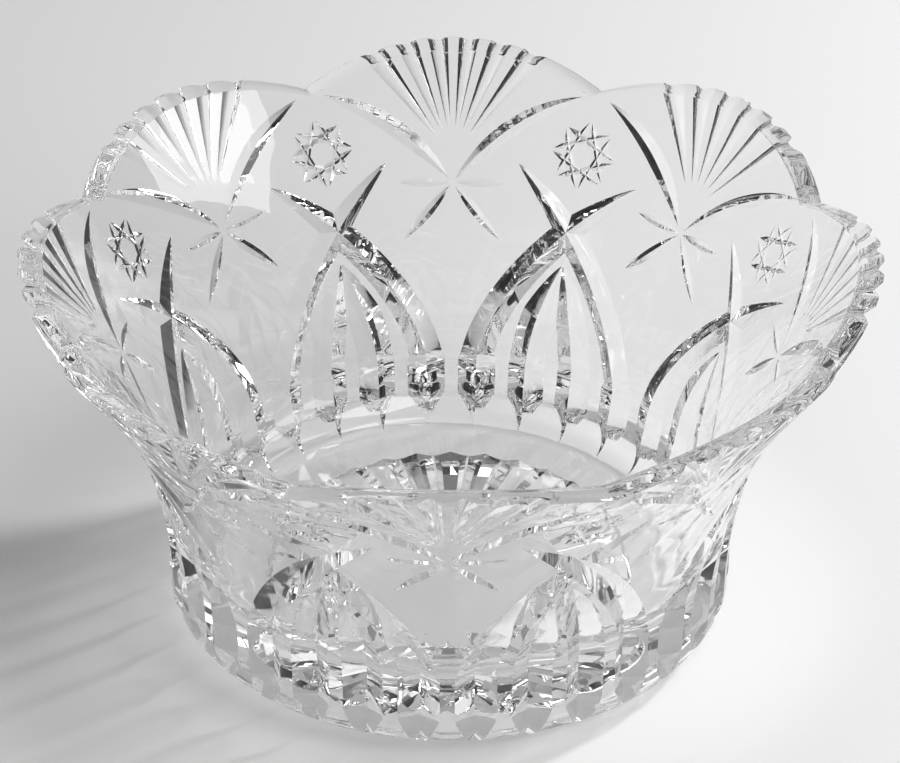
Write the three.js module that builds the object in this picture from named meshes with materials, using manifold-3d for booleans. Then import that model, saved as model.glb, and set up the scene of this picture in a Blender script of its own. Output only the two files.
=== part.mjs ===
import * as THREE from 'three';
import { mergeVertices } from 'three/addons/utils/BufferGeometryUtils.js';
import Module from 'manifold-3d';

// A salad bowl of clear cut glass: one blank, whose rim is then lobed and whose wall and foot are cut.
// Millimetres, +Z up, origin at the centre of the foot on the table, a lobe of the rim facing -Y.

const degrees = THREE.MathUtils.degToRad;

// The blank
const BOWL_HEIGHT = 119.6;
const RIM_RADIUS = 125.4;
const FLARE_ANGLE = degrees(35);
const FLARE_RADIUS = 145;
const BODY_RADIUS = 83.5;
const FOOT_RADIUS = 67;
const FOOT_ROUND = 12;
const FOOT_LEAN_SHARE = 0.98;
const RIM_WALL = 5.8;
const BASE_WALL = 9.5;
const FLOOR_HEIGHT = 20;
const FLOOR_FILLET = 20;
const RECESS_RADIUS = 56;
const RECESS_DEPTH = 2;

// The lobed rim
const LOBES = 8;
const LOBE_EDGE_RADIUS = 113;
const TRIM_MARGIN = 20;

// The fan in each lobe, whose flutes run out through the rim
const FAN_DROP = 31;
const FAN_FLUTES = 6;
const FAN_PITCH = degrees(15.5);
const FAN_CLEAR = 4;
const FAN_DEPTH = 2.4;
const FAN_RATIO = 1.4;

// The star under each fan, and the two swags that rise from it to the notches of the rim
const STAR_DROP = 37.6;
const STAR_SIDE_RAY = 18;
const STAR_LOWER_RAY = 24.3;
const STAR_LOWER_ANGLE = degrees(140);
const STAR_DEPTH = 1.3;
const STAR_SIDE_DEPTH = 0.9;
const SWAG_DROP = 12;
const SWAG_BEND_DROP = 20.7;
const SWAG_BEND_ANGLE = degrees(9);
const SWAG_GAP_ANGLE = degrees(1.5);
const SWAG_DEPTH = 2.1;
const SWAG_RATIO = 1.3;

// The sun under each notch: a sunk ring of points round a plain middle
const SUN_DROP = 27;
const SUN_RADIUS = 10.6;
const SUN_VALLEY_RADIUS = 5.6;
const SUN_MIDDLE_RADIUS = 4;
const SUN_POINTS = 8;
const SUN_DEPTH = 1;

// The arch under each sun, the pair of ribs inside it and the flutes of the base that they run down into
const ARCH_DROP = 47.6;
const ARCH_CROSSING = 16.5;
const ARCH_POWER = 1.55;
const ARCH_DEPTH = 3.8;
const ARCH_RATIO = 1.12;
const RIB_DROP = 57;
const RIB_RATIO = 1.4;
const FLUTE_TOP = 30;
const FLUTE_FOOT = 14;
const FLUTE_DEPTH = 4.4;
const FLUTE_RATIO = 1.45;
const RATIO_POWER = 0.2;
const FLUTES_PER_LOBE = 4;

// The star under the foot
const BASE_RAYS = 32;
const BASE_RAY_START = 34;
const BASE_RAY_DEPTH = 3.8;
const BASE_RAY_RATIO = 1.3;

// Cutting wheels: a ratio is half the width for each millimetre of depth; lift stands proud of the glass
const MITRE_RATIO = 1.05;
const WHEEL_LIFT = 1.2;
const WHEEL_EXIT = 0.25;
const MITRE_SECTION = [[-1, 0], [0, 1], [1, 0]];
const ROUND_SECTION = [[-0.96, 0], [-0.32, 0.95], [0.32, 0.95], [0.96, 0]];

// Fineness of the faceted solid
const BLANK_SIDES = 40;
const WALL_STEPS = 5;
const FILLET_STEPS = 3;
const FOOT_STEPS = 3;
const LOBE_EDGE_SIDES = 96;
const ARCH_STEPS = 5;
const SWAG_STEPS = 5;
const STRAIGHT_STEPS = 2;

const sector = 2 * Math.PI / LOBES;
const flutePitch = sector / FLUTES_PER_LOBE;
const corner = BOWL_HEIGHT - (RIM_RADIUS - BODY_RADIUS) / Math.tan(FLARE_ANGLE);
const tangent = FLARE_RADIUS * Math.tan(FLARE_ANGLE / 2);
const flareStart = corner - tangent;
const flareEnd = corner + tangent * Math.cos(FLARE_ANGLE);

// Outer wall: rounded in to the foot, then upright, an arc through the flare and a straight cone above it
function flareLean(height) {
  const rise = THREE.MathUtils.clamp(height - flareStart, 0, FLARE_RADIUS * Math.sin(FLARE_ANGLE));
  return Math.asin(rise / FLARE_RADIUS);
}

function footShare(height) {
  return THREE.MathUtils.clamp(1 - height / FOOT_ROUND, 0, 1);
}

function footHeight(share) {
  return FOOT_ROUND * (1 - Math.cos(Math.PI / 2 * share));
}

function wallLean(height) {
  const share = Math.min(footShare(height), FOOT_LEAN_SHARE);
  const footSlope = (BODY_RADIUS - FOOT_RADIUS) * share / (FOOT_ROUND * Math.sqrt(1 - share ** 2));
  return Math.atan(Math.tan(flareLean(height)) + footSlope);
}

function wallRadius(height) {
  if (height >= flareEnd) return RIM_RADIUS + (height - BOWL_HEIGHT) * Math.tan(FLARE_ANGLE);
  const inset = (BODY_RADIUS - FOOT_RADIUS) * (1 - Math.sqrt(1 - footShare(height) ** 2));
  return BODY_RADIUS - inset + FLARE_RADIUS * (1 - Math.cos(flareLean(height)));
}

function wallPoint(azimuth, height) {
  const radius = wallRadius(height);
  return new THREE.Vector3(radius * Math.sin(azimuth), -radius * Math.cos(azimuth), height);
}

function wallNormal(azimuth, height) {
  const lean = wallLean(height);
  const level = Math.cos(lean);
  return new THREE.Vector3(level * Math.sin(azimuth), -level * Math.cos(azimuth), -Math.sin(lean));
}

// A place drawn flat, across and up from an anchor, laid on the cone that touches the wall at the anchor
function laidOnWall(anchor, across, up) {
  const lean = wallLean(anchor.height);
  const slant = wallRadius(anchor.height) / Math.sin(lean);
  const reach = Math.hypot(across, slant + up);
  const turn = Math.atan2(across, slant + up) / Math.sin(lean);
  return { azimuth: anchor.azimuth + turn, height: anchor.height + (reach - slant) * Math.cos(lean) };
}

const wasm = await Module();
wasm.setup();

function solid(geometry, placed = new THREE.Matrix4()) {
  geometry.deleteAttribute('normal');
  geometry.deleteAttribute('uv');
  const merged = mergeVertices(geometry).applyMatrix4(placed);
  const vertProperties = new Float32Array(merged.attributes.position.array);
  const triVerts = new Uint32Array(merged.index.array);
  return new wasm.Manifold(new wasm.Mesh({ numProp: 3, vertProperties, triVerts }));
}

// The blank is turned: under the foot, up the outer wall, over the top and down the inner wall to the floor
function blankProfile() {
  const profile = [[0, RECESS_DEPTH], [RECESS_RADIUS - RECESS_DEPTH, RECESS_DEPTH], [RECESS_RADIUS, 0]];
  for (let step = 0; step < FOOT_STEPS; step += 1) {
    const height = footHeight(step / FOOT_STEPS);
    profile.push([wallRadius(height), height]);
  }
  const curveTop = Math.min(flareEnd, BOWL_HEIGHT);
  const wallSteps = [...Array(WALL_STEPS + 1).keys()].map((step) => step / WALL_STEPS);
  const outer = wallSteps.map((share) => THREE.MathUtils.lerp(FOOT_ROUND, curveTop, share));
  outer.push(BOWL_HEIGHT + TRIM_MARGIN);
  profile.push(...outer.map((height) => [wallRadius(height), height]));
  const filletTop = FLOOR_HEIGHT + FLOOR_FILLET;
  const innerBase = wallRadius(filletTop) - BASE_WALL;
  const inner = wallSteps.slice(1).map((share) => THREE.MathUtils.lerp(filletTop, curveTop, share));
  inner.push(BOWL_HEIGHT + TRIM_MARGIN);
  for (const height of inner.reverse()) {
    const lean = wallLean(height);
    const wall = THREE.MathUtils.mapLinear(height, filletTop, BOWL_HEIGHT, BASE_WALL, RIM_WALL);
    profile.push([wallRadius(height) - wall * Math.cos(lean), height + wall * Math.sin(lean)]);
  }
  for (let step = 0; step <= FILLET_STEPS; step += 1) {
    const turn = Math.PI / 2 * step / FILLET_STEPS;
    const away = FLOOR_FILLET * (1 - Math.cos(turn));
    profile.push([innerBase - away, filletTop - FLOOR_FILLET * Math.sin(turn)]);
  }
  profile.push([0, FLOOR_HEIGHT]);
  return profile.map(([radius, height]) => new THREE.Vector2(radius, height));
}

function blank() {
  const turned = new THREE.LatheGeometry(blankProfile(), BLANK_SIDES);
  turned.rotateX(Math.PI / 2);
  return solid(turned);
}

// What stands above the lobed rim: a disc over the wall, less a drum that lies level in each lobe
function rimTrim() {
  const top = BOWL_HEIGHT + 2 * TRIM_MARGIN;
  const base = BOWL_HEIGHT - TRIM_MARGIN;
  const disc = new THREE.CylinderGeometry(2 * RIM_RADIUS, 2 * RIM_RADIUS, top - base, LOBES);
  disc.rotateX(Math.PI / 2);
  disc.translate(0, 0, (top + base) / 2);
  const drums = [];
  const up = new THREE.Vector3(0, 0, 1);
  for (let lobe = 0; lobe < LOBES; lobe += 1) {
    const turn = lobe * sector;
    const across = new THREE.Vector3(Math.cos(turn), Math.sin(turn), 0);
    const outward = across.clone().cross(up);
    const centre = wallPoint(turn, BOWL_HEIGHT).addScaledVector(up, -LOBE_EDGE_RADIUS);
    const length = 2 * (RIM_WALL + 2 * TRIM_MARGIN);
    const drum = new THREE.CylinderGeometry(LOBE_EDGE_RADIUS, LOBE_EDGE_RADIUS, length, LOBE_EDGE_SIDES);
    drum.rotateX(Math.PI / 2);
    const placed = new THREE.Matrix4().makeBasis(across, up, outward);
    drums.push(solid(drum, placed.setPosition(centre)));
  }
  return solid(disc).subtract(wasm.Manifold.union(drums));
}

// A cutting wheel's sweep: its section follows stations of a point, a normal, a depth and a ratio
function sweep(stations, section) {
  const size = section.length;
  const positions = [];
  for (let index = 0; index < stations.length; index += 1) {
    const { point, normal, depth, ratio = MITRE_RATIO } = stations[index];
    const ahead = stations[Math.min(index + 1, stations.length - 1)].point;
    const behind = stations[Math.max(index - 1, 0)].point;
    const across = ahead.clone().sub(behind).cross(normal).normalize();
    for (const [side, down] of section) {
      const place = point.clone().addScaledVector(normal, WHEEL_LIFT - down * (depth + WHEEL_LIFT));
      place.addScaledVector(across, side * ratio * (depth + WHEEL_LIFT));
      positions.push(place.x, place.y, place.z);
    }
  }
  const faces = [];
  const last = (stations.length - 1) * size;
  for (let start = 0; start < last; start += size) {
    for (let edge = 0; edge < size; edge += 1) {
      const next = (edge + 1) % size;
      faces.push(start + edge, start + size + next, start + next);
      faces.push(start + edge, start + size + edge, start + size + next);
    }
  }
  for (let edge = 1; edge < size - 1; edge += 1) {
    faces.push(0, edge, edge + 1);
    faces.push(last, last + edge + 1, last + edge);
  }
  const geometry = new THREE.BufferGeometry();
  geometry.setAttribute('position', new THREE.Float32BufferAttribute(positions, 3));
  geometry.setIndex(faces);
  return solid(geometry);
}

// A cut along the wall: place(t), depth(t) and ratio(t) give it for t from 0 to 1
function wallCut(place, depth, steps, section = MITRE_SECTION, ratio = () => MITRE_RATIO) {
  const stations = [];
  for (let step = 0; step <= steps; step += 1) {
    const share = step / steps;
    const { azimuth, height } = place(share);
    const [point, normal] = [wallPoint(azimuth, height), wallNormal(azimuth, height)];
    stations.push({ point, normal, depth: depth(share), ratio: ratio(share) });
  }
  return sweep(stations, section);
}

// A straight cut between two flat places near an anchor
function straightCut(anchor, from, to, depth, steps, section, ratio = MITRE_RATIO) {
  const between = (axis, share) => from[axis] + (to[axis] - from[axis]) * share;
  const line = (share) => laidOnWall(anchor, between(0, share), between(1, share));
  return wallCut(line, depth, steps, section, () => ratio);
}

// A cut that goes in and comes out again, deepest in its middle
function lens(depth) {
  return (share) => (depth + WHEEL_EXIT) * 4 * share * (1 - share) - WHEEL_EXIT;
}

function fanCuts(azimuth) {
  const anchor = { azimuth, height: BOWL_HEIGHT - FAN_DROP };
  const reach = FAN_DROP / Math.cos(FLARE_ANGLE) + TRIM_MARGIN;
  const rimShare = (FAN_DROP / Math.cos(FLARE_ANGLE) - FAN_CLEAR) / (reach - FAN_CLEAR);
  const depth = (share) => (FAN_DEPTH + WHEEL_EXIT) * share / rimShare - WHEEL_EXIT;
  const cuts = [];
  for (let flute = 0; flute < FAN_FLUTES; flute += 1) {
    const turn = (flute - (FAN_FLUTES - 1) / 2) * FAN_PITCH;
    const aim = [Math.sin(turn), Math.cos(turn)];
    const from = aim.map((part) => part * FAN_CLEAR);
    const to = aim.map((part) => part * reach);
    cuts.push(straightCut(anchor, from, to, depth, STRAIGHT_STEPS, ROUND_SECTION, FAN_RATIO));
  }
  return cuts;
}

function starCuts(azimuth) {
  const anchor = { azimuth, height: BOWL_HEIGHT - STAR_DROP };
  const cuts = [];
  for (const side of [-1, 1]) {
    const lower = [Math.sin(STAR_LOWER_ANGLE), Math.cos(STAR_LOWER_ANGLE)];
    const lowerTip = [side * lower[0] * STAR_LOWER_RAY, lower[1] * STAR_LOWER_RAY];
    cuts.push(straightCut(anchor, [0, 0], [side * STAR_SIDE_RAY, 0], lens(STAR_SIDE_DEPTH), STRAIGHT_STEPS));
    cuts.push(straightCut(anchor, [0, 0], lowerTip, lens(STAR_DEPTH), STRAIGHT_STEPS));
    const swag = new THREE.QuadraticBezierCurve(
      new THREE.Vector2(0, anchor.height),
      new THREE.Vector2(SWAG_BEND_ANGLE, BOWL_HEIGHT - SWAG_BEND_DROP),
      new THREE.Vector2(sector / 2 - SWAG_GAP_ANGLE, BOWL_HEIGHT - SWAG_DROP),
    );
    const place = (share) => {
      const { x, y } = swag.getPoint(share);
      return { azimuth: azimuth + side * x, height: y };
    };
    cuts.push(wallCut(place, lens(SWAG_DEPTH), SWAG_STEPS, MITRE_SECTION, () => SWAG_RATIO));
  }
  return cuts;
}

// The sun is sunk square to the wall, and its middle is left standing
function sunCut(azimuth) {
  const height = BOWL_HEIGHT - SUN_DROP;
  const ring = (radii) => {
    const corners = [];
    for (let index = 0; index < radii.length * SUN_POINTS; index += 1) {
      const turn = 2 * Math.PI * index / (radii.length * SUN_POINTS);
      const radius = radii[index % radii.length];
      corners.push(new THREE.Vector2(radius * Math.cos(turn), radius * Math.sin(turn)));
    }
    return corners;
  };
  const outline = new THREE.Shape(ring([SUN_RADIUS, SUN_VALLEY_RADIUS]));
  outline.holes.push(new THREE.Path(ring([SUN_MIDDLE_RADIUS])));
  const sunk = new THREE.ExtrudeGeometry(outline, { depth: SUN_DEPTH + WHEEL_LIFT, bevelEnabled: false });
  const normal = wallNormal(azimuth, height);
  const across = new THREE.Vector3(Math.cos(azimuth), Math.sin(azimuth), 0);
  const placed = new THREE.Matrix4().makeBasis(across, normal.clone().cross(across), normal);
  placed.setPosition(wallPoint(azimuth, height).addScaledVector(normal, -SUN_DEPTH));
  return solid(sunk, placed);
}

// One line of an arch: out of the edge of the foot, up its flute, then over to the apex and on to its tip
function archCut(azimuth, offset, apex, tip, topRatio) {
  const steps = FOOT_STEPS + ARCH_STEPS;
  const heightAt = (share) => {
    const above = share * steps - FOOT_STEPS;
    if (above <= 0) return footHeight(1 + above / FOOT_STEPS);
    return THREE.MathUtils.lerp(FOOT_ROUND, tip, above / ARCH_STEPS);
  };
  const climbAt = (height) => Math.max(0, (height - FLUTE_TOP) / (apex - FLUTE_TOP));
  const place = (share) => {
    const height = heightAt(share);
    return { azimuth: azimuth + offset * (1 - climbAt(height) ** ARCH_POWER), height };
  };
  const depth = (share) => {
    const height = heightAt(share);
    const runout = Math.min(1, (tip - height) / ARCH_CROSSING, height / FLUTE_FOOT);
    const full = THREE.MathUtils.lerp(FLUTE_DEPTH, ARCH_DEPTH, Math.min(1, climbAt(height)));
    return (full + WHEEL_EXIT) * runout - WHEEL_EXIT;
  };
  const ratio = (share) => {
    const drawn = Math.min(1, climbAt(heightAt(share))) ** RATIO_POWER;
    return THREE.MathUtils.lerp(FLUTE_RATIO, topRatio, drawn);
  };
  return wallCut(place, depth, steps, MITRE_SECTION, ratio);
}

function archCuts(azimuth) {
  const cuts = [];
  for (const side of [-1, 1]) {
    const apex = BOWL_HEIGHT - ARCH_DROP;
    const ribTip = BOWL_HEIGHT - RIB_DROP;
    cuts.push(archCut(azimuth, side * 1.5 * flutePitch, apex, apex + ARCH_CROSSING, ARCH_RATIO));
    cuts.push(archCut(azimuth, side * 0.5 * flutePitch, ribTip, ribTip, RIB_RATIO));
  }
  return cuts;
}

// The star under the foot, cut up into the recess
function baseCuts() {
  const cuts = [];
  const end = RECESS_RADIUS - RECESS_DEPTH;
  for (let ray = 0; ray < BASE_RAYS; ray += 1) {
    const turn = 2 * Math.PI * ray / BASE_RAYS;
    const stations = [];
    for (const radius of [BASE_RAY_START, end]) {
      const point = new THREE.Vector3(radius * Math.sin(turn), -radius * Math.cos(turn), RECESS_DEPTH);
      const depth = BASE_RAY_DEPTH * radius / end;
      stations.push({ point, normal: new THREE.Vector3(0, 0, -1), depth, ratio: BASE_RAY_RATIO });
    }
    cuts.push(sweep(stations, MITRE_SECTION));
  }
  return cuts;
}

function bowlGeometry() {
  const cuts = baseCuts();
  for (let lobe = 0; lobe < LOBES; lobe += 1) {
    const crest = lobe * sector;
    const notch = crest + sector / 2;
    cuts.push(...fanCuts(crest), ...starCuts(crest), sunCut(notch), ...archCuts(notch));
  }
  const mesh = blank().subtract(rimTrim()).subtract(wasm.Manifold.union(cuts)).getMesh();
  const geometry = new THREE.BufferGeometry();
  geometry.setAttribute('position', new THREE.BufferAttribute(mesh.vertProperties, 3));
  geometry.setIndex(new THREE.BufferAttribute(mesh.triVerts, 1));
  geometry.computeVertexNormals();
  return geometry;
}

const glass = new THREE.MeshStandardMaterial({
  color: 0xeef1f1,
  roughness: 0.05,
  metalness: 0,
  transparent: true,
  opacity: 0.35,
});

const bowl = new THREE.Mesh(bowlGeometry(), glass);
bowl.name = 'bowl';

const saladBowl = new THREE.Group();
saladBowl.add(bowl);

export default saladBowl;
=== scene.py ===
import bpy
import numpy as np
from mathutils import Matrix, Vector


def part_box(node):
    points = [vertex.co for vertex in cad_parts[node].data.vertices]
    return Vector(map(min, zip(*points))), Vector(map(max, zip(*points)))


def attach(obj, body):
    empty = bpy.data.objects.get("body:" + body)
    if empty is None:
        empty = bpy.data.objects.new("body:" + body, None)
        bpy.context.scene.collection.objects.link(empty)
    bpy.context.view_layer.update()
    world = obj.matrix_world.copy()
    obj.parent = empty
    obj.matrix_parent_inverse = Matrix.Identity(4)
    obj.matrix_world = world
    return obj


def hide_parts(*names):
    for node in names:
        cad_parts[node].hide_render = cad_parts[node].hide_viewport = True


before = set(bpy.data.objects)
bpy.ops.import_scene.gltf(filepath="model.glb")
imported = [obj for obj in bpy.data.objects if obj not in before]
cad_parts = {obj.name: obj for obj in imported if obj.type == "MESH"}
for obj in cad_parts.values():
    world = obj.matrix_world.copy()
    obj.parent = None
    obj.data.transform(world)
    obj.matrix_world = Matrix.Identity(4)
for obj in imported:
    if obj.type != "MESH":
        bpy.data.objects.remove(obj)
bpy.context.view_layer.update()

# The blank: one thick bowl of clear glass, pressed in a mould and turned true.
# It stands on a flat ring round a shallow recess, rises almost upright from the foot
# and flares out to the rim.
node_low, node_high = (np.array(corner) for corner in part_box("bowl"))
rim_radius = (node_high[0] - node_low[0]) / 2
bowl_height = node_high[2]
rim_wall = 0.0058
base_wall = 0.0095
flare_angle = np.radians(35.0)
flare_radius = 0.145
body_radius = 0.0835
foot_radius = 0.067
foot_round = 0.012
foot_lean_limit = 0.98
floor_height = 0.020
floor_fillet = 0.020
floor_rings = [0.036, 0.018, 0.0]
recess_radius = 0.056
recess_depth = 0.002
recess_rings = [0.0, 0.02, 0.04]
trim_margin = 0.012
blank_sides = 320
foot_steps = 13
outer_steps = 60
inner_steps = 56
fillet_steps = 13
flare_corner = bowl_height - (rim_radius - body_radius) / np.tan(flare_angle)
flare_tangent = flare_radius * np.tan(flare_angle / 2)
flare_start = flare_corner - flare_tangent
flare_end = flare_corner + flare_tangent * np.cos(flare_angle)


def flare_lean(height):
    """Lean of the flare from the upright: none below it, an arc through it, steady above it."""
    rise = np.clip(height - flare_start, 0.0, flare_radius * np.sin(flare_angle))
    return np.arcsin(rise / flare_radius)


def wall_lean(height):
    """Lean of the outer wall: the flare's, and under it that of the quarter ellipse at the foot."""
    share = np.clip(1.0 - height / foot_round, 0.0, foot_lean_limit)
    foot_slope = (body_radius - foot_radius) * share / (foot_round * np.sqrt(1.0 - share ** 2))
    return np.arctan(np.tan(flare_lean(height)) + foot_slope)


def wall_radius(height):
    """Outer radius: a quarter ellipse at the foot, the body, the arc of the flare, then a cone."""
    share = np.clip(1.0 - height / foot_round, 0.0, 1.0)
    inset = (body_radius - foot_radius) * (1.0 - np.sqrt(1.0 - share ** 2))
    arc = body_radius - inset + flare_radius * (1.0 - np.cos(flare_lean(height)))
    cone = rim_radius + (height - bowl_height) * np.tan(flare_angle)
    return np.where(height < flare_end, arc, cone)


def foot_heights(steps):
    """Heights up the rounded foot, by equal turns of its quarter ellipse from the ground up."""
    return foot_round * (1.0 - np.cos(np.linspace(0.0, np.pi / 2, steps)))


def blank_profile():
    """Under the foot, up the outer wall, over a plain top above the rim and down the inner wall.

    The inner wall lies the wall's thickness in from the outer one, square to it, and the thickness
    changes steadily with height. A quarter circle joins it to the floor.
    """
    recess = [[radius, recess_depth] for radius in recess_rings + [recess_radius - recess_depth]]
    top = bowl_height + trim_margin
    upright = np.linspace(foot_round, top, outer_steps)[1:]
    outer_height = np.concatenate([foot_heights(foot_steps), upright])
    outer = np.stack([wall_radius(outer_height), outer_height], axis=-1)
    fillet_top = floor_height + floor_fillet
    inner_height = np.linspace(top, fillet_top, inner_steps)[:-1]
    lean = wall_lean(inner_height)
    climb = (inner_height - fillet_top) / (bowl_height - fillet_top)
    wall = base_wall + (rim_wall - base_wall) * climb
    inner_radius = wall_radius(inner_height) - wall * np.cos(lean)
    inner = np.stack([inner_radius, inner_height + wall * np.sin(lean)], axis=-1)
    turn = np.linspace(0.0, np.pi / 2, fillet_steps)
    fillet_edge = wall_radius(fillet_top) - base_wall - floor_fillet
    fillet_radius = fillet_edge + floor_fillet * np.cos(turn)
    fillet = np.stack([fillet_radius, fillet_top - floor_fillet * np.sin(turn)], axis=-1)
    floor = [[radius, floor_height] for radius in floor_rings]
    return np.vstack([recess, [[recess_radius, 0.0]], outer, inner, fillet, floor])


def mesh_from(name, points, faces):
    """A mesh of an array of points and lists of corner numbers."""
    mesh = bpy.data.meshes.new(name)
    mesh.from_pydata(points.reshape(-1, 3).tolist(), [], faces)
    mesh.validate()
    return mesh


def turned_mesh(name, profile, sides):
    """A profile from axis to axis, carried round Z: ring i of the profile lies at radius and height i."""
    turn = np.linspace(0.0, 2 * np.pi, sides, endpoint=False)
    ring = profile[1:-1]
    across = ring[:, 0] * np.sin(turn)[:, None]
    ahead = -ring[:, 0] * np.cos(turn)[:, None]
    height = np.broadcast_to(ring[:, 1], across.shape)
    points = np.stack([across, ahead, height], axis=-1).reshape(-1, 3)
    poles = np.array([[0.0, 0.0, profile[0, 1]], [0.0, 0.0, profile[-1, 1]]])
    corner = np.arange(sides * len(ring)).reshape(sides, len(ring))
    beside = np.roll(corner, -1, axis=0)
    quads = np.stack([corner[:, :-1], beside[:, :-1], beside[:, 1:], corner[:, 1:]], axis=-1)
    foot_pole = np.full(sides, len(points))
    under = np.stack([foot_pole, beside[:, 0], corner[:, 0]], axis=-1)
    over = np.stack([foot_pole + 1, corner[:, -1], beside[:, -1]], axis=-1)
    faces = quads.reshape(-1, 4).tolist() + under.tolist() + over.tolist()
    return mesh_from(name, np.vstack([points, poles]), faces)


bowl = bpy.data.objects.new("cut_glass_bowl", turned_mesh("cut_glass_bowl", blank_profile(), blank_sides))
bpy.context.collection.objects.link(bowl)

# The rim: eight round lobes, ground to a level face across the wall and polished to a soft edge.
# Each lobe is the arc of a wide drum that lies level in it, and two neighbours meet in a notch.
lobes = 8
sector = 2 * np.pi / lobes
lobe_edge_radius = 0.113
lobe_sides = 96
rim_face = rim_wall / np.cos(flare_angle)
rim_face_steps = 15
rim_softness = 0.0006
rim_sink_limit = 2.0
drum_reach = 0.9 * lobe_edge_radius
trim_inside = 4.0
trim_outside = 2.0
trim_spread = 1.5
trim_height = 0.05
settling_rounds = 30


def lobe_height(aside):
    """Height of a lobe's drum at a distance aside from the middle of the lobe.

    It is top - radius + the root of radius squared - aside squared.
    """
    return bowl_height - lobe_edge_radius + np.sqrt(lobe_edge_radius ** 2 - aside ** 2)


def rim_trim():
    """A ring that covers all above the rim: at each azimuth its foot is the drum of the lobe.

    The wall and the drum settle on the height where they meet. Across the wall the foot sinks with the
    fourth power of the way from the middle of the face to its edges, which makes both edges soft.
    """
    azimuth = np.linspace(0.0, 2 * np.pi, lobes * lobe_sides, endpoint=False)
    turn = azimuth - np.round(azimuth / sector) * sector
    height = np.full_like(azimuth, bowl_height)
    for _ in range(settling_rounds):
        height = lobe_height(wall_radius(height) * np.sin(turn))
    across = np.concatenate([[-trim_inside], np.linspace(-1.0, 0.0, rim_face_steps), [trim_outside]])
    radius = wall_radius(height)[:, None] + across * rim_face
    aside = np.minimum(radius * np.abs(np.sin(turn))[:, None], drum_reach)
    from_middle = np.abs(2 * across + 1)
    crown = lobe_height(aside) - rim_softness * np.minimum(rim_sink_limit, from_middle ** 4)
    foot = np.stack([radius * np.sin(azimuth)[:, None], -radius * np.cos(azimuth)[:, None], crown], axis=-1)
    far_in = foot[:, :1] + [0.0, 0.0, trim_height]
    far_out = foot[:, -1:] * [trim_spread, trim_spread, 1.0] + [0.0, 0.0, trim_height]
    ring = np.concatenate([foot, far_out, far_in], axis=1)
    corner = np.arange(ring.shape[0] * ring.shape[1]).reshape(ring.shape[:2])
    beside = np.roll(corner, -1, axis=0)
    quads = np.stack([corner, beside, np.roll(beside, -1, axis=1), np.roll(corner, -1, axis=1)], axis=-1)
    return mesh_from("rim_trim", ring, quads.reshape(-1, 4).tolist())


cutters = [rim_trim()]

# The fan: six round flutes in each lobe that spread from a point and run out through the rim as teeth.
# A hollow wheel is sunk square into the wall, deeper and wider from the point to the rim,
# and lifts off where the cut runs out.
wheel_lift = 0.0008
wheel_exit = 0.00025
path_steps = 25
fan_drop = 0.031
fan_flutes = 6
fan_pitch = np.radians(15.5)
fan_clear = 0.004
fan_overrun = 0.012
fan_depth = 0.0024
fan_ratio = 1.4
hollow_section = np.array([[-0.96, 0.0], [-0.32, 0.84], [-0.24, 0.92], [-0.12, 0.98],
                           [0.0, 1.0], [0.12, 0.98], [0.24, 0.92], [0.32, 0.84], [0.96, 0.0]])


def wall_point(azimuth, height):
    """Point of the outer wall, with azimuth 0 towards -Y."""
    radius = wall_radius(height)
    return np.stack([radius * np.sin(azimuth), -radius * np.cos(azimuth), height + 0.0 * azimuth], axis=-1)


def wall_normal(azimuth, height):
    """Outward normal of the outer wall: level where the wall is upright, and turned down by its lean."""
    lean = wall_lean(height) + 0.0 * azimuth
    level = np.cos(lean)
    return np.stack([level * np.sin(azimuth), -level * np.cos(azimuth), -np.sin(lean)], axis=-1)


def swept_mesh(name, section, points, normals, depths, ratio):
    """Closed bars, one for each copy: a section carried along the points of a path.

    Its corner (side, down) lies lift - down * (depth + lift) along the normal and
    side * ratio * (depth + lift) across the path, so that a deeper cut is a wider one.
    """
    across = np.cross(np.gradient(points, axis=1), normals)
    across /= np.linalg.norm(across, axis=-1, keepdims=True)
    sunk = depths + wheel_lift
    width = sunk * ratio
    side, down = section[..., :1], section[..., 1:]
    corners = points[:, :, None] + normals[:, :, None] * (wheel_lift - down * sunk[..., None, None])
    corners = corners + across[:, :, None] * (side * width[..., None, None])
    number = np.arange(corners[..., 0].size).reshape(corners.shape[:3])
    here, ahead = number[:, :-1], number[:, 1:]
    quads = np.stack([here, ahead, np.roll(ahead, -1, axis=2), np.roll(here, -1, axis=2)], axis=-1)
    caps = np.concatenate([number[:, 0], number[:, -1, ::-1]])
    return mesh_from(name, corners, quads.reshape(-1, 4).tolist() + caps.tolist())


def round_the_bowl(azimuth, height):
    """The same path in each lobe: azimuth and height arrays of a path get one row for each lobe."""
    turn = (np.arange(lobes) * sector)[:, None]
    azimuth = np.atleast_2d(azimuth)
    height = np.atleast_2d(height)
    return (azimuth[None] + turn[:, None]).reshape(-1, azimuth.shape[-1]), np.tile(height, (lobes, 1))


def wall_cut(name, section, azimuth, height, depth, ratio):
    """A cut of a section along a path on the wall, repeated in each lobe."""
    azimuth, height = round_the_bowl(azimuth, height)
    points = wall_point(azimuth, height)
    normals = wall_normal(azimuth, height)
    return swept_mesh(name, section, points, normals, np.broadcast_to(depth, azimuth.shape), ratio)


def laid_on_wall(anchor_azimuth, anchor_height, across, up):
    """A drawing, across and up from an anchor, laid on the cone that touches the wall there.

    On the cone unrolled flat, a point's distance from the tip gives its height, and its turn about
    the tip, divided by the sine of the lean, gives its azimuth.
    """
    lean = wall_lean(np.array(anchor_height))
    slant = wall_radius(np.array(anchor_height)) / np.sin(lean)
    reach = np.hypot(across, slant + up)
    turn = np.arctan2(across, slant + up) / np.sin(lean)
    return anchor_azimuth + turn, anchor_height + (reach - slant) * np.cos(lean)


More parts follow.
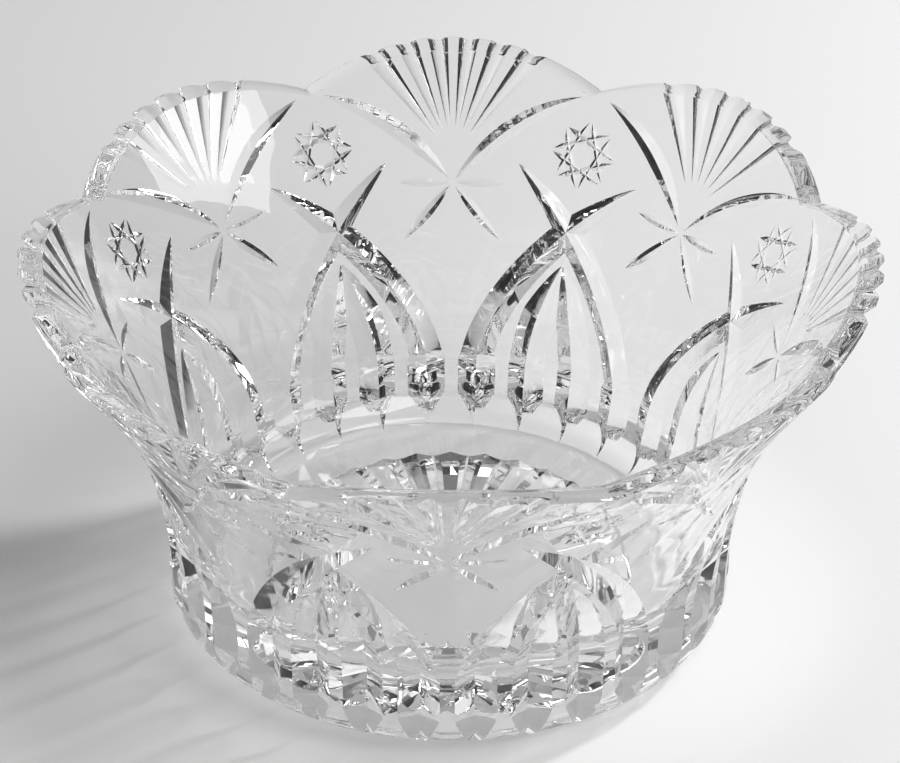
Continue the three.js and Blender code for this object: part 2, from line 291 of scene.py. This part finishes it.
share = np.linspace(0.0, 1.0, path_steps)
fan_turn = ((np.arange(fan_flutes) - (fan_flutes - 1) / 2) * fan_pitch)[:, None]
fan_rim = fan_drop / np.cos(flare_angle)
fan_reach = fan_clear + (fan_rim + fan_overrun - fan_clear) * share
fan_across = np.sin(fan_turn) * fan_reach
fan_up = np.cos(fan_turn) * fan_reach
fan_azimuth, fan_height = laid_on_wall(0.0, bowl_height - fan_drop, fan_across, fan_up)
fan_cut = (fan_depth + wheel_exit) * (fan_reach - fan_clear) / (fan_rim - fan_clear) - wheel_exit
cutters.append(wall_cut("fan_flutes", hollow_section, fan_azimuth, fan_height, fan_cut, fan_ratio))

# The star under each fan: two level rays and two that slope down, and two swags that rise to the notches.
# They are V grooves of a mitre wheel, deepest half way along, and all start at the middle of the star.
mitre_section = np.array([[-1.0, 0.0], [0.0, 1.0], [1.0, 0.0]])
star_drop = 0.0376
star_side_ray = 0.018
star_side_angle = np.radians(90.0)
star_side_depth = 0.0009
star_side_ratio = 1.45
star_lower_ray = 0.0243
star_lower_angle = np.radians(140.0)
star_lower_depth = 0.0013
star_lower_ratio = 1.15
swag_drop = 0.012
swag_bend_drop = 0.0207
swag_bend_angle = np.radians(9.0)
swag_gap_angle = np.radians(1.5)
swag_depth = 0.0021
swag_ratio = 1.3
star_height = bowl_height - star_drop


def lens(depth):
    """Depth along a cut that goes in and comes out again: 4 * share * (1 - share) of its deepest."""
    return (depth + wheel_exit) * 4 * share * (1 - share) - wheel_exit


def bowed(start, bend, end):
    """A curve of second degree: start, twice the bend and end, weighed by the shares left and gone."""
    return (1 - share) ** 2 * start + 2 * share * (1 - share) * bend + share ** 2 * end


for side in (-1.0, 1.0):
    for name, angle, ray, depth, ratio in (
        ("star_side_ray", star_side_angle, star_side_ray, star_side_depth, star_side_ratio),
        ("star_lower_ray", star_lower_angle, star_lower_ray, star_lower_depth, star_lower_ratio),
    ):
        ray_across = side * np.sin(angle) * ray * share
        ray_up = np.cos(angle) * ray * share
        azimuth, height = laid_on_wall(0.0, star_height, ray_across, ray_up)
        cutters.append(wall_cut(name, mitre_section, azimuth, height, lens(depth), ratio))
    azimuth = side * bowed(0.0, swag_bend_angle, sector / 2 - swag_gap_angle)
    height = bowed(star_height, bowl_height - swag_bend_drop, bowl_height - swag_drop)
    cutters.append(wall_cut("swag", mitre_section, azimuth, height, lens(swag_depth), swag_ratio))

# The sun under each notch: eight short mitre cuts from point to point of an eight-pointed star.
# They are shallow, soon at their full depth, and leave a plain eight-sided middle.
sun_drop = 0.027
sun_radius = 0.0112
sun_points = 8
sun_step = 3
sun_depth = 0.00068
sun_ratio = 1.2
sun_steepness = 5
sun_run_out = np.minimum(1.0, sun_steepness * np.minimum(share, 1 - share))
sun_cut = (sun_depth + wheel_exit) * sun_run_out - wheel_exit
for point in range(sun_points):
    start_turn = 2 * np.pi * point / sun_points
    end_turn = 2 * np.pi * (point + sun_step) / sun_points
    sun_across = sun_radius * ((1 - share) * np.sin(start_turn) + share * np.sin(end_turn))
    sun_up = sun_radius * ((1 - share) * np.cos(start_turn) + share * np.cos(end_turn))
    azimuth, height = laid_on_wall(sector / 2, bowl_height - sun_drop, sun_across, sun_up)
    cutters.append(wall_cut("sun_cut", mitre_section, azimuth, height, sun_cut, sun_ratio))

# The arch under each sun: two mitre lines that cross at its apex, and a pair of ribs inside it.
# All four widen on their way down into the upright flutes round the base, which meet side by side
# and run out in slender points under the foot.
arch_drop = 0.0476
arch_crossing = 0.0165
arch_power = 1.55
arch_depth = 0.0038
arch_ratio = 1.12
arch_point_power = 0.7
rib_drop = 0.057
rib_ratio = 1.4
flute_top = 0.030
flute_foot = 0.014
flute_depth = 0.0044
flute_ratio = 1.45
flute_width_power = 0.2
flute_pitch = sector / 4
flute_foot_steps = 12
flute_wall_steps = 45
arch_apex = bowl_height - arch_drop
rib_apex = bowl_height - rib_drop
for side in (-1.0, 1.0):
    for offset, apex, tip, top_ratio in (
        (1.5 * flute_pitch, arch_apex, arch_apex + arch_crossing, arch_ratio),
        (0.5 * flute_pitch, rib_apex, rib_apex, rib_ratio),
    ):
        upright = np.linspace(foot_round, tip, flute_wall_steps)[1:]
        height = np.concatenate([foot_heights(flute_foot_steps), upright])
        climb = np.maximum(0.0, (height - flute_top) / (apex - flute_top))
        taken = np.minimum(1.0, climb)
        azimuth = sector / 2 + side * offset * (1 - climb ** arch_power)
        point = np.minimum(1.0, (tip - height) / arch_crossing) ** arch_point_power
        run_out = np.minimum(point, height / flute_foot)
        depth = (flute_depth + (arch_depth - flute_depth) * taken + wheel_exit) * run_out - wheel_exit
        ratio = flute_ratio + (top_ratio - flute_ratio) * taken ** flute_width_power
        cutters.append(wall_cut("arch_line", mitre_section, azimuth, height, depth, ratio))

# The star under the foot: mitre rays that widen and deepen outwards, up to the edge of the recess.
# The middle of the recess is left plain.
base_rays = 32
base_ray_start = 0.034
base_ray_end = recess_radius - recess_depth
base_ray_depth = 0.0038
base_ray_ratio = 1.3
ray_turn = (2 * np.pi * np.arange(base_rays) / base_rays)[:, None]
ray_radius = base_ray_start + (base_ray_end - base_ray_start) * share
ray_across = ray_radius * np.sin(ray_turn)
ray_ahead = -ray_radius * np.cos(ray_turn)
ray_points = np.stack([ray_across, ray_ahead, np.full_like(ray_across, recess_depth)], axis=-1)
ray_normals = np.broadcast_to([0.0, 0.0, -1.0], ray_points.shape)
ray_depths = np.broadcast_to(base_ray_depth * ray_radius / base_ray_end, ray_across.shape)
cutters.append(swept_mesh("base_ray", mitre_section, ray_points, ray_normals, ray_depths, base_ray_ratio))

# The cut bowl: the rim's grinding and every wheel are taken to the blank in turn.
# The edges of the cuts stay crisp, and the faces between them smooth.
crisp_angle = np.radians(28.0)
wheels = []
for cutter in cutters:
    wheel = bpy.data.objects.new("wheel", cutter)
    bpy.context.collection.objects.link(wheel)
    wheels.append(wheel)
    cut = bowl.modifiers.new("cut", "BOOLEAN")
    cut.operation = "DIFFERENCE"
    cut.solver = "MANIFOLD"
    cut.object = wheel
graph = bpy.context.evaluated_depsgraph_get()
carved = bpy.data.meshes.new_from_object(bowl.evaluated_get(graph))
bowl.modifiers.clear()
bowl.data = carved
for wheel in wheels:
    bpy.data.objects.remove(wheel)
carved.shade_smooth()
carved.set_sharp_from_angle(angle=crisp_angle)

# The glass: clear and colourless, with a faint ripple and traces of haze from polishing.
# The ground ring that it stands on is worn dull. Its shadow is pale, and darker where
# the wall is seen edge on.
worn_from = 0.00005
worn_to = 0.0006
worn_roughness = 0.4
haze_scale = 22.0
haze_detail = 3.0
haze_from = 0.5
haze_to = 0.8
haze_roughness = 0.04
ripple_scale = 70.0
ripple_detail = 1.0
edge_on_shade = 0.15
glass = bpy.data.materials.new("clear_glass")
glass.use_nodes = True
glass_tree = glass.node_tree
glass_nodes = glass_tree.nodes
glass_links = glass_tree.links


def ranged(tree, source, start, end, low, high):
    """A Map Range node: while its source goes from start to end, it goes from low to high."""
    node = tree.nodes.new("ShaderNodeMapRange")
    for socket, number in (("From Min", start), ("From Max", end), ("To Min", low), ("To Max", high)):
        node.inputs[socket].default_value = number
    tree.links.new(source, node.inputs["Value"])
    return node.outputs["Result"]


def worked_out(tree, operation, *sources):
    """A Math node: the operation on its sources, in their order."""
    node = tree.nodes.new("ShaderNodeMath")
    node.operation = operation
    for source, socket in zip(sources, node.inputs):
        tree.links.new(source, socket)
    return node.outputs["Value"]


def clouds(tree, place, scale, detail):
    """A Noise Texture node: clouds of a scale and a fineness of detail, fixed to the piece's own place."""
    node = tree.nodes.new("ShaderNodeTexNoise")
    node.inputs["Scale"].default_value = scale
    node.inputs["Detail"].default_value = detail
    tree.links.new(place, node.inputs["Vector"])
    return node.outputs["Fac"]


glass_shader = glass_nodes["Principled BSDF"]
glass_shader.inputs["Base Color"].default_value = (1.0, 1.0, 1.0, 1.0)
glass_shader.inputs["IOR"].default_value = 1.52
glass_shader.inputs["Transmission Weight"].default_value = 1.0
glass_place = glass_nodes.new("ShaderNodeTexCoord").outputs["Object"]
glass_axes = glass_nodes.new("ShaderNodeSeparateXYZ")
glass_links.new(glass_place, glass_axes.inputs["Vector"])
foot_wear = ranged(glass_tree, glass_axes.outputs["Z"], worn_from, worn_to, worn_roughness, 0.0)
haze_clouds = clouds(glass_tree, glass_place, haze_scale, haze_detail)
haze = ranged(glass_tree, haze_clouds, haze_from, haze_to, 0.0, haze_roughness)
glass_links.new(worked_out(glass_tree, "MAXIMUM", foot_wear, haze), glass_shader.inputs["Roughness"])
ripple = glass_nodes.new("ShaderNodeBump")
ripple.inputs["Strength"].default_value = 0.25
ripple.inputs["Distance"].default_value = 0.0004
glass_links.new(clouds(glass_tree, glass_place, ripple_scale, ripple_detail), ripple.inputs["Height"])
glass_links.new(ripple.outputs["Normal"], glass_shader.inputs["Normal"])
edge_on = glass_nodes.new("ShaderNodeLayerWeight")
edge_on.inputs["Blend"].default_value = 0.5
glass_shadow = glass_nodes.new("ShaderNodeBsdfTransparent")
glass_links.new(ranged(glass_tree, edge_on.outputs["Facing"], 0.0, 1.0, 1.0, edge_on_shade),
                glass_shadow.inputs["Color"])
glass_ray = glass_nodes.new("ShaderNodeLightPath")
glass_surface = glass_nodes.new("ShaderNodeMixShader")
glass_links.new(glass_ray.outputs["Is Shadow Ray"], glass_surface.inputs["Fac"])
glass_links.new(glass_shader.outputs["BSDF"], glass_surface.inputs[1])
glass_links.new(glass_shadow.outputs["BSDF"], glass_surface.inputs[2])
glass_links.new(glass_surface.outputs["Shader"], glass_nodes["Material Output"].inputs["Surface"])
carved.materials.clear()
carved.materials.append(glass)
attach(bowl, "root")
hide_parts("bowl")

# The floor: a plain pale sheet, which fills the background. Round the foot it has a painted pool of light,
# a glow that stands in for the light that the glass would gather there. Seen through the cuts, it has a
# painted
# shade: for rays that come through the glass, it turns dark to the left of what the camera sees by itself.
floor_half = 3.0
floor_corners = floor_half * np.array([[-1.0, -1.0, 0.0], [1.0, -1.0, 0.0],
                                       [1.0, 1.0, 0.0], [-1.0, 1.0, 0.0]])
# Painted pool of light: the floor glows round the foot, in place of light that the glass would gather
# there.
painted_pool_inside = 0.06
painted_pool_outside = 0.14
painted_pool_light = 0.31
far_start = 0.5
far_end = 1.8
far_light = 0.6
# Painted shade: the floor is painted dark to the left of a slanting edge, but only where it is seen through
# the glass.
painted_shade_edge_inside = -0.122
painted_shade_edge_outside = -0.138
painted_shade_slant_start = 0.12
painted_shade_slant_end = 1.12
painted_shade_slant = 0.3
floor_mesh = mesh_from("floor", floor_corners, [[0, 1, 2, 3]])
floor = bpy.data.objects.new("floor", floor_mesh)
bpy.context.collection.objects.link(floor)
paper = bpy.data.materials.new("paper")
paper.use_nodes = True
paper_tree = paper.node_tree
paper_nodes = paper_tree.nodes
paper_links = paper_tree.links
paper_shader = paper_nodes["Principled BSDF"]
paper_shader.inputs["Roughness"].default_value = 0.9
paper_ray = paper_nodes.new("ShaderNodeLightPath")
paper_place = paper_nodes.new("ShaderNodeTexCoord").outputs["Object"]
from_bowl = paper_nodes.new("ShaderNodeVectorMath")
from_bowl.operation = "LENGTH"
paper_links.new(paper_place, from_bowl.inputs[0])
# Painted pool of light: the floor's emission, full inside the inner radius and gone beyond the outer one.
painted_pool = ranged(paper_tree, from_bowl.outputs["Value"], painted_pool_inside, painted_pool_outside, painted_pool_light, 0.0)
painted_pool.node.interpolation_type = "SMOOTHSTEP"
far = ranged(paper_tree, from_bowl.outputs["Value"], far_start, far_end, 0.0, far_light)
# The glow: the pale sweep far off, for the camera only, and the painted pool of light round the foot, for
# every ray.
paper_glow_and_painted_pool = worked_out(paper_tree, "MULTIPLY_ADD", far, paper_ray.outputs["Is Camera Ray"], painted_pool)
paper_links.new(paper_glow_and_painted_pool, paper_shader.inputs["Emission Strength"])
paper_axes = paper_nodes.new("ShaderNodeSeparateXYZ")
paper_links.new(paper_place, paper_axes.inputs["Vector"])
# Painted shade: a ramp to dark past a line that slants with Y, switched on only for rays that have come
# through the glass.
slant = ranged(paper_tree, paper_axes.outputs["Y"], painted_shade_slant_start, painted_shade_slant_end, 0.0, painted_shade_slant)
painted_shade_side = worked_out(paper_tree, "ADD", paper_axes.outputs["X"], slant)
painted_shade_ramp = ranged(paper_tree, painted_shade_side, painted_shade_edge_inside, painted_shade_edge_outside, 0.0, 1.0)
painted_shade_mask = worked_out(paper_tree, "MULTIPLY", painted_shade_ramp, paper_ray.outputs["Is Transmission Ray"])
# The paper's colour: its own pale grey, and the near black of the painted shade where its mask is on.
paper_and_painted_shade_colour = paper_nodes.new("ShaderNodeMix")
paper_and_painted_shade_colour.data_type = "RGBA"
paper_and_painted_shade_colour.inputs["A"].default_value = (0.86, 0.86, 0.86, 1.0)
paper_and_painted_shade_colour.inputs["B"].default_value = (0.05, 0.05, 0.05, 1.0)
paper_links.new(painted_shade_mask, paper_and_painted_shade_colour.inputs["Factor"])
paper_links.new(paper_and_painted_shade_colour.outputs["Result"], paper_shader.inputs["Base Color"])
floor_mesh.materials.append(paper)

# The light: soft boxes to the right and above, a small one at the back right, and a dim room.
# The largest box is the one whose reflection shines on the lobe at the back left,
# and the room is paler behind the bowl and where the camera sees it.
bowl_middle = (0.0, 0.0, 0.05)
room_front = 0.3
room_back = 0.9
room_front_light = 0.025
room_back_light = 0.4
room_on_paper = 0.06
room_in_camera = 0.7


def soft_box(name, place, aim, size, power):
    """A flat lamp with a width and a height, at a place, turned to face a point."""
    lamp = bpy.data.lights.new(name, "AREA")
    lamp.shape = "RECTANGLE"
    lamp.size, lamp.size_y = size
    lamp.energy = power
    holder = bpy.data.objects.new(name, lamp)
    holder.location = place
    holder.rotation_euler = (Vector(aim) - Vector(place)).to_track_quat("-Z", "Y").to_euler()
    bpy.context.collection.objects.link(holder)
    return holder


soft_box("right_box", (1.34, -0.1, 0.97), bowl_middle, (1.0, 0.6), 7.5)
right_fill = soft_box("right_fill", (1.1, -0.7, 0.9), (0.1, -0.1, 0.0), (0.6, 0.6), 8.0)
right_fill.visible_glossy = False
right_fill.visible_transmission = False
soft_box("back_right_box", (1.05, 0.75, 0.85), bowl_middle, (0.14, 0.14), 12.0)
soft_box("top_box", (0.5, -0.2, 1.7), bowl_middle, (0.8, 0.6), 7.5)
world = bpy.data.worlds.new("dim_room")
bpy.context.scene.world = world
world.use_nodes = True
room_tree = world.node_tree
room_place = room_tree.nodes.new("ShaderNodeTexCoord")
room_axes = room_tree.nodes.new("ShaderNodeSeparateXYZ")
room_ray = room_tree.nodes.new("ShaderNodeLightPath")
room_tree.links.new(room_place.outputs["Generated"], room_axes.inputs["Vector"])
room_light = ranged(room_tree, room_axes.outputs["Y"], room_front, room_back,
                    room_front_light, room_back_light)
for seen_by, light in (("Is Diffuse Ray", room_on_paper), ("Is Camera Ray", room_in_camera)):
    choice = room_tree.nodes.new("ShaderNodeMix")
    choice.inputs["B"].default_value = light
    room_tree.links.new(room_ray.outputs[seen_by], choice.inputs["Factor"])
    room_tree.links.new(room_light, choice.inputs["A"])
    room_light = choice.outputs["Result"]
background = room_tree.nodes["Background"]
background.inputs["Color"].default_value = (1.0, 1.0, 1.0, 1.0)
room_tree.links.new(room_light, background.inputs["Strength"])

# The camera: a long lens that looks down at the bowl, as in the photograph.
# Its light paths are long enough for the many walls of glass behind each other.
camera_rise = np.radians(33.8)
camera_turn = np.radians(0.28)
camera_roll = np.radians(0.24)
camera_distance = 1.660
look_at = Vector((0.0, 0.0, 0.0756))
image_width = 900
focal_pixels = 5670
sensor_width = 36.0
camera_data = bpy.data.cameras.new("camera")
camera_data.sensor_width = sensor_width
camera_data.lens = focal_pixels / image_width * sensor_width
camera = bpy.data.objects.new("camera", camera_data)
level = np.cos(camera_rise)
outward = Vector((np.sin(camera_turn) * level, -np.cos(camera_turn) * level, np.sin(camera_rise)))
camera.location = look_at + camera_distance * outward
aim = (-outward).to_track_quat("-Z", "Y").to_matrix() @ Matrix.Rotation(camera_roll, 3, "Z")
camera.rotation_euler = aim.to_euler()
bpy.context.collection.objects.link(camera)
bpy.context.scene.camera = camera
bpy.context.scene.view_settings.view_transform = "Standard"
light_paths = bpy.context.scene.cycles
light_paths.caustics_refractive = False
light_paths.caustics_reflective = False
light_paths.max_bounces = 32
light_paths.glossy_bounces = 24
light_paths.transmission_bounces = 32
